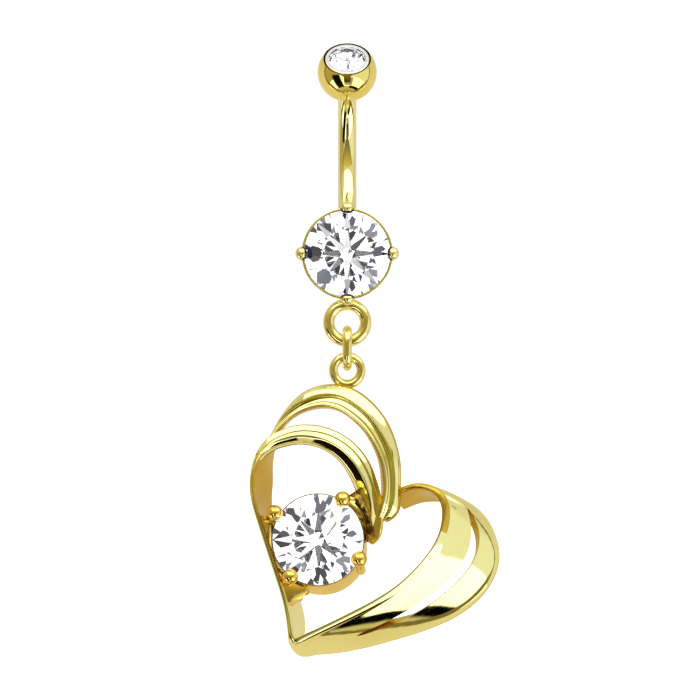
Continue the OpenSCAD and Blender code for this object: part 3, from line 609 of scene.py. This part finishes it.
# Rows: place of the lip as shares of the heart's width and height, shares of wall, flare and depth, how far the
# band is a grooved loop, and as shares of the heart's depth the inset of its back edge and the set-back of its front
BAND = [
    [.545, .614, 1.10, .00, .70, .0, .00, .28],
    [.615, .636, 1.10, .03, .80, .0, .00, .18],
    [.680, .635, 1.10, .07, .95, .0, .00, .05],
    [.732, .618, 1.15, .16, 1.00, .0, .00, .00],
    [.764, .590, 1.20, .32, 1.00, .0, .00, .00],
    [.779, .556, 1.20, .56, 1.00, .0, .00, .00],
    [.781, .514, 1.15, .77, 1.00, .0, .00, .00],
    [.771, .467, 1.05, .97, 1.00, .0, .00, .00],
    [.747, .415, .95, 1.02, 1.00, .0, .00, .00],
    [.706, .361, .90, .98, 1.00, .0, .00, .00],
    [.648, .302, .90, .84, 1.00, .0, .00, .00],
    [.573, .245, .90, .63, 1.00, .0, .00, .00],
    [.484, .196, .90, .46, 1.00, .0, .00, .00],
    [.384, .149, .90, .32, 1.00, .0, .00, .00],
    [.284, .105, .90, .16, .98, .0, .00, .00],
    [.215, .076, .95, .06, .84, .0, .00, .00],
    [.182, .062, 1.00, .04, .72, .0, .00, .00],
    [.165, .080, 1.00, .22, .72, .0, .00, .00],
    [.156, .135, 1.00, .07, .92, .0, .00, .00],
    [.136, .226, .95, .00, 1.00, .0, .00, .00],
    [.091, .351, .95, .00, 1.00, .0, .00, .00],
    [.037, .502, .90, .00, 1.00, .0, .00, .00],
    [.011, .584, .90, .00, 1.00, .0, .00, .00],
    [.006, .656, .90, .00, 1.00, .0, .00, .00],
    [.019, .708, .85, .00, .97, .0, -.03, .01],
    [.043, .757, .80, .03, .88, .1, -.14, .06],
    [.078, .812, .75, .10, .78, .3, -.19, .10],
    [.117, .860, .65, .17, .68, .5, -.25, .12],
    [.161, .893, .60, .26, .60, .8, -.26, .12],
    [.213, .915, .60, .38, .56, 1.0, -.24, .09],
    [.276, .928, .60, .49, .55, 1.0, -.16, .05],
    [.341, .920, .60, .57, .55, 1.0, -.08, .02],
    [.400, .889, .60, .58, .55, 1.0, .00, .00],
    [.457, .844, .60, .55, .55, 1.0, .09, .00],
    [.505, .778, .60, .50, .55, 1.0, .20, .00],
    [.535, .717, .60, .45, .55, 1.0, .32, .00],
    [.547, .659, .60, .40, .55, 1.0, .38, .00],
    [.547, .612, .60, .39, .55, 1.0, .36, .00],
    [.540, .575, .60, .42, .52, 1.0, .32, .00],
    [.529, .545, .60, .36, .44, 1.0, .30, .04],
    [.515, .522, .60, .20, .32, 1.0, .20, .10],
]
# Corners of the band's outline: shares of the half wall, of the flare and of the depth, and the corner's rounding
PUFFED = [(-1.0, .00, .03, .12), (-.5, .00, .00, .12), (.5, .00, .03, .12), (1.0, .01, .07, .10),
          (1.0, .03, .10, .10), (1.0, .35, .22, 2.00), (1.0, .68, .42, 2.00), (1.0, .95, .74, .60),
          (1.0, 1.00, .95, .12), (.6, 1.00, 1.00, .12), (-1.0, .97, 1.00, .12), (-1.0, .75, .74, 2.00),
          (-1.0, .42, .46, 2.00), (-1.0, .06, .28, 2.00)]
GROOVED = [(-1.0, .00, .12, .10), (-.5, .00, .05, .10), (.5, .00, .04, .10), (1.0, .03, .09, .10),
           (1.0, .12, .09, .15), (1.0, .38, .22, .10), (1.0, .43, .02, .10), (1.0, .66, .11, .80),
           (1.0, .91, .29, .12), (1.0, 1.00, .50, .20), (1.0, .65, 1.00, .30), (-1.0, .15, 1.00, .30),
           (-1.0, .00, .65, .40), (-1.0, .00, .35, .40)]
# Rows of the slot: its middle line as shares of the heart, and its width as a share of the slot's
SLOT = [[.868, .546, .20], [.883, .518, .55], [.897, .487, .88], [.903, .447, .98],
        [.897, .404, 1.00], [.881, .366, .98], [.856, .325, .92], [.800, .269, .84],
        [.733, .218, .82], [.661, .174, .80], [.592, .136, .70], [.532, .110, .50],
        [.472, .086, .40], [.424, .069, .20]]


def finer(rows, steps):
    """Rows of a table with more put between them on a Catmull-Rom curve, then evened out by a short running mean."""
    rows = np.asarray(rows, float)
    n = len(rows) - 1
    i = np.repeat(np.arange(n), steps)
    t = np.tile(np.arange(steps) / steps, n)[:, None]
    a, b, c, d = (rows[np.clip(i + k, 0, n)] for k in (-1, 0, 1, 2))
    fine = 0.5 * (2 * b + (c - a) * t + (2 * a - 5 * b + 4 * c - d) * t * t + (3 * b - a - 3 * c + d) * t ** 3)
    fine = np.vstack([fine, rows[-1:]])
    w = steps // 2
    padded = np.vstack([2 * fine[0] - fine[w:0:-1], fine, 2 * fine[-1] - fine[-2:-w - 2:-1]])
    total = np.cumsum(np.vstack([0 * padded[:1], padded]), 0)
    return (total[2 * w + 1:] - total[:-2 * w - 1]) / (2 * w + 1)


def spot(rows):
    """Place of rows in the heart's front plane."""
    return np.stack([HEART_X + rows[:, 0] * HEART_W, HEART_Z + rows[:, 1] * HEART_H], -1)


def outward(place):
    """Direction square to a curve in the front plane, to the left of its run."""
    run = np.gradient(place, axis=0)
    run /= np.linalg.norm(run, axis=1)[:, None]
    return np.stack([-run[:, 1], run[:, 0]], -1)


def cast(rows, outline, lean=1.0):
    """Outlines of (outward, depth) set on the rows of a curve. What lies deeper leans across and down."""
    place = spot(rows)
    front = place[:, None] + outline[..., :1] * outward(place)[:, None] + LEAN * lean * outline[..., 1:] / HEART_DEEP
    return np.stack([front[..., 0], HEART_Y + outline[..., 1], front[..., 1]], -1)


def along_outline(outline, place):
    """Points of each row's outline at fractional positions of its own, by straight interpolation."""
    low = np.clip(np.floor(place).astype(int), 0, outline.shape[1] - 2)
    part = (place - low)[..., None]
    row = np.arange(len(outline))[:, None]
    return outline[row, low] * (1 - part) + outline[row, low + 1] * part


STEPS, ROUND = 12, 5
rows = finer(BAND, STEPS)
grooved = rows[:, 5].clip(0, 1)[:, None, None]
corners = np.array(PUFFED) * (1 - grooved) + np.array(GROOVED) * grooved
outline = np.stack([
    corners[..., 0] * rows[:, 2, None] * FRAME_WALL / 2 + corners[..., 1] * rows[:, 3, None] * BAND_FLARE
    - corners[..., 2] * rows[:, 6, None] * HEART_DEEP,
    (rows[:, 7, None] + corners[..., 2] * rows[:, 4, None]) * HEART_DEEP], -1)
outline = rounded(outline, corners[..., 3], ROUND)
# Columns of the outline, from its last corner on: the lip, the face and the back with their neighbours, and the rim
per = ROUND + 1
outline = np.roll(outline, per, 1)
lip, face = np.arange(5 * per), np.arange(5 * per - 1, 9 * per + 1)
rim, back = np.arange(9 * per, 12 * per), np.append(np.arange(12 * per - 1, 14 * per), 0)

# The slot crosses each row where its middle line, moved to the face's depth, meets the row's outward direction
slot = finer(SLOT, 10)
r = np.arange(len(rows))
out = outward(spot(rows))
reach = (spot(slot) - LEAN * FACE_DEEP)[None] - spot(rows)[:, None]
outside = (reach * out[:, None]).sum(-1)
ahead = (reach * np.stack([out[:, 1], -out[:, 0]], -1)[:, None]).sum(-1)
ahead = np.where((outside > 0) & (r < LOBE_ROWS * STEPS)[:, None], ahead, np.inf)
cross = (ahead[:, :-1] < 0) & (ahead[:, 1:] >= 0) & np.isfinite(ahead[:, 1:])
has = cross.any(1)
at = cross.argmax(1)
near, far = (np.where(has, ahead[r, at + k], k) for k in (0, 1))
t = near / (near - far)
centre = np.where(has, outside[r, at] * (1 - t) + outside[r, at + 1] * t, 0)
width = np.where(has, slot[at, 2] * (1 - t) + slot[at + 1, 2] * t, 0) * SLOT_W
first, last = np.flatnonzero(has)[[0, -1]]
nearest = np.clip(r, first, last)
taper = np.clip(np.minimum(r - first, last - r) / SLOT_TAPER, 0, 1)
half_w = width[nearest] / 2 * np.sqrt(np.clip(taper * (2 - taper), 0, 1))


def slot_columns(outline, columns, flip, before, after, wider=0.0):
    """Positions on each row's outline that run up to one edge of the slot, and from its other edge on."""
    part = outline[:, columns]
    across = part[..., 0] + SLOT_SLANT * (part[..., 1] - FACE_DEEP * HEART_DEEP)
    sign = -1 if flip else 1
    edges = []
    for side in (-sign, sign):
        goal = centre[nearest] + side * half_w + (wider if side > 0 else 0.0)
        below = (across * sign < goal[:, None] * sign).sum(1).clip(1, len(columns) - 1)
        lo, hi = across[r, below - 1], across[r, below]
        edges.append((below - 1 + (goal - lo) / (hi - lo)).clip(0, len(columns) - 1))
    held = [e[nearest] for e in edges]
    start = np.linspace(0, 1, before) * held[0][:, None]
    rest = held[1][:, None] + np.linspace(0, 1, after) * (len(columns) - 1 - held[1][:, None])
    return along_outline(part, start), along_outline(part, rest)


face_near, face_far = slot_columns(outline, face, False, 26, 26)
shift = np.interp((r - first) / (last - first), *SLOT_BACK) * taper
back_far, back_near = slot_columns(outline, back, True, 18, 18, shift)
strips = [outline[:, lip], face_near, face_far, outline[:, rim], back_far, back_near]
grid = cast(rows, np.concatenate(strips, 1))
# Faces round the band but for the slot's two seams, then the slot's walls, then the band's ends
n, m = grid.shape[:2]
count = np.cumsum([s.shape[1] for s in strips])
seams = [count[1] - 1, count[4] - 1]
kept = np.setdiff1d(np.arange(m), seams)
faces = [quads(np.arange(n - 1), kept, (kept + 1) % m, n, m)]
for wall_start, wall_end in ((seams[0], (seams[1] + 1) % m), (seams[1], seams[0] + 1)):
    faces.append(quads(np.arange(first, last), wall_start, wall_end, n, m))
points, fans = closed_ends(grid)
faces += fans
# The wheel polishes the face and the rim, and what it reaches of the lip and the tip. The rest stays rough, and its
# darker, deeper gold is painted shade.
row = np.arange(n - 1)[:, None] / STEPS
wheel = (kept >= count[0] - 1) & (kept <= count[2]) | (kept < count[0]) & (kept > LIP_COLUMN) & (row > LIP_ROW)
wheel = wheel | (row > TIP_ROWS[0]) & (row < TIP_ROWS[1])
unworked_and_shaded = np.append(~wheel, np.ones(sum(map(len, faces[1:])), bool))
heart_gold = polished("heart_gold", (0.95, 0.91, 0.40), (0.93, 0.87, 0.34), rough=0.04, wave=0.005, wave_size=3.0,
                      grain=0.0006)
shaded_inside_gold = polished("shaded_inside_gold", (0.66, 0.46, 0.06), (0.58, 0.36, 0.04), rough=0.22, rough_more=0.15, wave=0.012,
                       wave_size=0.8, grain=0.001)
put("heart_band", points, faces, "pendant", "heart_metal", "heart", heart_gold, second=(shaded_inside_gold, unworked_and_shaded))

# ------------------------------
# Inner loop: a ridged strip cast with the band. It leaves the band on the left, curls over and comes down beside the
# stone, steeper towards its end. Its sides and back are unpolished, and their near-black colour is painted shade.
LOOP_W, LOOP_LEAN, LOOP_ROUND = 2.0, 0.3, 6
# Where its outline starts to turn from the left one to the right one, and over how many rows
STEEP_FROM, STEEP_OVER = 5, 5
# Rows: middle of its front as shares of the heart, width as a share of the loop's, depth, inset and set-back
LOOP = [
    [.010, .640, .22, .60, .00, .01],
    [.014, .690, .24, .55, .00, .00],
    [.030, .730, .31, .50, .02, -.01],
    [.056, .765, .46, .46, .04, -.02],
    [.090, .790, .58, .45, .05, -.02],
    [.125, .806, .68, .45, .06, -.02],
    [.184, .822, .80, .45, .06, -.01],
    [.240, .822, .88, .45, .06, .00],
    [.300, .811, .94, .45, .07, .00],
    [.364, .782, 1.00, .45, .09, .00],
    [.418, .738, 1.05, .46, .12, .00],
    [.457, .685, 1.04, .48, .16, .00],
    [.481, .634, .97, .50, .20, .02],
    [.498, .585, .92, .52, .20, .04],
    [.503, .535, .96, .50, .20, .08],
    [.497, .490, 1.02, .46, .16, .12],
    [.490, .450, .80, .42, .10, .20],
    [.474, .424, .38, .34, .05, .28],
]
# Corners of its outline on the left and on the right: share of the width, share of the depth, and the rounding
RIDGED = [(-.50, .36, .10), (-.44, .18, .15), (-.20, .03, .15), (-.10, .01, .15), (.06, .10, .05),
          (.09, .05, .05), (.26, .11, 1.0), (.46, .18, .3), (.50, .40, .3), (.44, .78, 1.0),
          (.22, 1.00, .3), (-.30, 1.00, .3), (-.50, .62, 1.0)]
STEEPER = [(-.50, .50, .10), (-.46, .26, .15), (-.18, .02, .15), (-.12, .01, .15), (.16, .21, .05),
           (.19, .12, .05), (.30, .20, 1.0), (.46, .32, .3), (.50, .50, .3), (.44, .80, 1.0),
           (.22, 1.00, .3), (-.30, 1.00, .3), (-.50, .70, 1.0)]

loop_rows = finer(LOOP, STEPS)
steep = np.clip((np.arange(len(loop_rows)) / STEPS - STEEP_FROM) / STEEP_OVER, 0, 1)[:, None, None]
loop_corners = np.array(RIDGED) * (1 - steep) + np.array(STEEPER) * steep
loop_w, loop_deep, inset, set_back = loop_rows[:, 2:, None].swapaxes(0, 1)
loop_outline = np.stack([loop_corners[..., 0] * loop_w * LOOP_W - loop_corners[..., 1] * inset * HEART_DEEP,
                         (set_back + loop_corners[..., 1] * loop_deep) * HEART_DEEP], -1)
loop_outline = rounded(loop_outline, loop_corners[..., 2], LOOP_ROUND)
loop_points, loop_faces = skin(cast(loop_rows, loop_outline, LOOP_LEAN))
# The painted shade runs from the middle of the outline's ninth corner over the back to the middle of its first
loop_per = LOOP_ROUND + 1
around = np.arange(loop_outline.shape[1])
loop_shade_faces = np.tile((around < loop_per // 2) | (around > 8 * loop_per + loop_per // 2), len(loop_rows) - 1)
loop_shade_faces = np.append(loop_shade_faces, np.zeros(sum(map(len, loop_faces[1:])), bool))
loop_shade_gold = polished("loop_shade_gold", (0.10, 0.045, 0.008), (0.34, 0.19, 0.03), rough=0.28, rough_more=0.15, wave=0.01,
                       wave_size=0.7, grain=0.001)
put("inner_loop", loop_points, loop_faces, "pendant", "heart_metal", "heart", heart_gold, second=(loop_shade_gold, loop_shade_faces))

# ------------------------------
# Hanging ring: a closed ring of wire, cast on top of the outer loop and plated with it.
# The heart hangs by it from the link.
put("hanging_ring", *facing_front(wire_ring(RING_R, RING_WIRE), 0, EYE_Y, RING_Z), "pendant", "heart_metal", "heart",
    ring_gold)

# ------------------------------
# Setting of the heart's stone: a slanting collet, four bead prongs, and the struts and thin webs that tie it into the
# frame. All are cast with the heart and left a little rougher and deeper in colour, because no wheel reaches them.
DROP_D = 7.8
DROP_R = DROP_D / 2
DROP_AT = (0.276, 0.431)
DROP_PLACE = (HEART_X + DROP_AT[0] * HEART_W, HEART_Y, HEART_Z + DROP_AT[1] * HEART_H)
COLLET_DEEP, COLLET_WALL = 2.3, 0.5
COLLET_TOP, COLLET_SHIFT = -0.13 * COLLET_DEEP, (0.152 * COLLET_DEEP, -0.435 * COLLET_DEEP)
# Turn of each bead, and its distance from the middle as a share of the stone's radius
BEAD_D, BEAD_FOOT = 1.4, (DROP_R - 0.2 * COLLET_WALL, -0.565 * COLLET_DEEP)
BEADS = [(148, 1.12), (59, 1.04), (-25, 1.00), (-127, 1.01)]
# Rows: both ends of a strut as shares of the heart's width, height and depth, and its thickness as a share of a bead's
STRUTS = [
    [.103, .529, .10, .104, .445, .45, .60],
    [.374, .580, .12, .452, .568, .28, .60],
    [.400, .560, .22, .488, .500, .30, .75],
    [.167, .297, .15, .198, .215, .62, .55],
    [.167, .270, .45, .225, .240, .62, .62],
    [.440, .361, .08, .448, .316, .50, .60],
]
# Webs: rows of both ends as shares of the heart, depths below the stone's girdle of the first end, of the second and
# of their backs, and whether the back of the first end leans with the band
WEBS = [
    ([(.032, .520, .084, .514), (.046, .483, .092, .470), (.071, .403, .099, .403), (.103, .318, .127, .335),
      (.120, .285, .175, .290), (.131, .256, .225, .262), (.140, .230, .235, .242), (.148, .200, .212, .214)],
     (-0.12, -0.50, -1.00, -1.00), 1),
    ([(.462, .548, .526, .562), (.466, .500, .531, .520), (.468, .455, .530, .480), (.466, .418, .520, .438)],
     (-0.70, -0.50, -1.20, -1.20), 0),
    ([(.396, .590, .440, .618), (.416, .562, .462, .578), (.440, .531, .482, .534), (.456, .498, .494, .490),
      (.464, .458, .500, .439)], (-0.45, -0.12, -0.85, -1.00), 0)]
# Painted shadow line round the stone's girdle: how far its edges lie outside the stone, and half its height
SHADOW_IN, SHADOW_OUT, SHADOW_HALF = 0.006, 0.085, 0.06


def put_in_setting(name, shape, metal, **more):
    """Puts a shape that is drawn round the heart's stone, with its girdle at height 0, into the heart."""
    put(name, *facing_front(shape, *DROP_PLACE), "pendant", "heart_metal", "heart", metal, **more)


deep_gold = polished("deep_gold", (0.90, 0.72, 0.22), (0.84, 0.60, 0.14), rough=0.12, rough_more=0.12, wave=0.004,
                     wave_size=0.9, grain=0.004)
collet_outline = rounded(np.array([
    (DROP_R + 0.1 * COLLET_WALL, COLLET_TOP), (DROP_R + 0.04 * COLLET_WALL, -COLLET_DEEP),
    (DROP_R - COLLET_WALL, -COLLET_DEEP), (DROP_R - 0.5 * COLLET_WALL, COLLET_TOP)]), np.array([.12, .15, .12, .08]))
collet_points, collet_faces = lathe(collet_outline, 160)
collet_points[:, :2] += (COLLET_TOP - collet_points[:, 2:]) / (COLLET_DEEP + COLLET_TOP) * COLLET_SHIFT
put_in_setting("stone_collet", off_the_stone((collet_points, collet_faces), DROP_D), deep_gold)

bead_gold = polished("bead_gold", (0.93, 0.70, 0.20), (0.86, 0.56, 0.11), rough=0.03, rough_more=0.05, wave=0.012,
                     wave_size=0.5, grain=0.0008)
beads = joined(*(claw(BEAD_FOOT, (far_out * DROP_R, BEAD_D / 4), 0.84, BEAD_D, 1.15, turned)
                 for turned, far_out in BEADS))
put_in_setting("bead_prongs", off_the_stone(beads, DROP_D), bead_gold)


def capsule(start, end, radius, around=32):
    """Round-ended rod from start to end: circles on its axis whose radii follow a half circle at both ends."""
    start, end = np.array(start, float), np.array(end, float)
    axis = (end - start) / np.linalg.norm(end - start)
    u = np.cross(axis, (0.3, 0.9, 0.2))
    u /= np.linalg.norm(u)
    v = np.cross(axis, u)
    dome = np.radians(np.linspace(-88, 0, 9))
    line = np.vstack([start + np.outer(radius * np.sin(dome), axis), end - np.outer(radius * np.sin(dome[::-1]), axis)])
    radii = radius * np.concatenate([np.cos(dome), np.cos(dome[::-1])])
    return tube(line, (np.tile(u, (len(line), 1)), np.tile(v, (len(line), 1))), radii, around)


struts = []
for *both_ends, thick in STRUTS:
    ends = (np.reshape(both_ends, (2, 3)) - (*DROP_AT, 0)) * (HEART_W, HEART_H, -HEART_DEEP)
    struts.append(capsule(*ends, thick * BEAD_D / 2))
put_in_setting("setting_struts", off_the_stone(joined(*struts), DROP_D), deep_gold)

webs = []
for web, depths, leans in WEBS:
    ends = (finer(web, 8).reshape(-1, 2, 2) - DROP_AT) * (HEART_W, HEART_H)
    ring = np.concatenate([ends, ends[:, ::-1]], 1)
    ring[:, 3] -= leans * depths[3] / HEART_DEEP * LEAN
    ring = np.concatenate([ring, np.array(depths)[:, None] + 0 * ring[..., :1]], -1)
    webs.append(skin(rounded(ring, 0.15)))
# The last web gets painted shade: dark brown, mottled with deep gold
shaded_web = np.repeat([False, False, True], [sum(map(len, web_faces)) for _, web_faces in webs])
web_shade_gold = polished("web_shade_gold", (0.14, 0.06, 0.010), (0.90, 0.62, 0.12), rough=0.12, wave=0.03, wave_size=0.6,
                        tone_size=1.1)
put_in_setting("setting_webs", off_the_stone(joined(*webs), DROP_D), deep_gold, second=(web_shade_gold, shaded_web))

# A thin grey ring round the girdle: painted shadow of the gap between the stone and its setting
seat_shadow_grey = polished("seat_shadow_grey", (0.30, 0.29, 0.30), (0.22, 0.21, 0.23), rough=0.45)
seat_shadow_outline = [(DROP_R + SHADOW_IN, -SHADOW_HALF), (DROP_R + SHADOW_OUT, -SHADOW_HALF), (DROP_R + SHADOW_OUT, SHADOW_HALF),
                (DROP_R + SHADOW_IN, SHADOW_HALF)]
put_in_setting("seat_shadow_line", lathe(seat_shadow_outline, 192), seat_shadow_grey)
